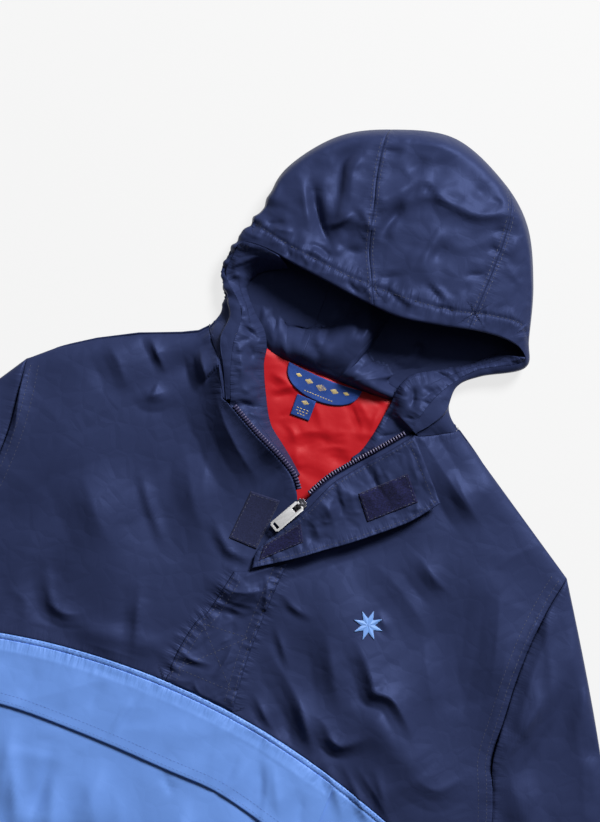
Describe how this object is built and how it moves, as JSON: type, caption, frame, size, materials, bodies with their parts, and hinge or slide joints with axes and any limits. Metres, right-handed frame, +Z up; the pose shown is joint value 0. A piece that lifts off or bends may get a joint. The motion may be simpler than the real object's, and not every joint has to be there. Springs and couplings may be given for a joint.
{
  "type": "hooded half-zip anorak pullover",
  "caption": "Hooded pullover anorak with a half zip, storm flap and pocket flap, laid flat on its back with the zip part open.",
  "frame": {"origin": "middle of the laid garment's footprint, on the surface it lies on", "axes": "+X towards the wearer's left cuff, +Y up the garment from hem to hood, +Z up from the surface"},
  "size_m": [1.034, 0.8545, 0.043],
  "materials": {
    "navy_nylon": "satin",
    "blue_nylon": "satin",
    "red_lining": "satin",
    "hook_and_loop": "matte",
    "label_weave": "matte",
    "zip_tape": "matte",
    "embroidery": "satin",
    "polished_metal": "polished"
  },
  "bodies": {
    "garment": {"back_yoke": "navy_nylon", "back_lower": "blue_nylon", "back_lining": "red_lining", "front_yoke_left": "navy_nylon", "front_yoke_right": "navy_nylon", "front_lower": "blue_nylon", "pocket_flap": "blue_nylon", "hood_centre": "navy_nylon", "hood_side_left": "navy_nylon", "hood_side_right": "navy_nylon", "facing_left": "navy_nylon", "facing_right": "navy_nylon", "storm_flap": "navy_nylon", "placket": "navy_nylon", "sleeve_left": "navy_nylon", "sleeve_right": "navy_nylon", "hook_patch_upper": "hook_and_loop", "hook_patch_lower": "hook_and_loop", "loop_patch": "hook_and_loop", "neck_label": "label_weave", "size_tab": "label_weave", "zip_tape_left": "zip_tape", "zip_tape_right": "zip_tape", "chest_motif": "embroidery", "zip_slider": "polished_metal"},
    "pull": {"zip_pull": "polished_metal"}
  },
  "joints": [
    {"name": "pull_swing", "type": "hinge", "parent": "garment", "child": "pull", "pos_m": [0.0128, 0.111, 0.0169], "axis": [-0.8865, 0.4627, 0], "range_deg": [0, 150]}
  ]
}
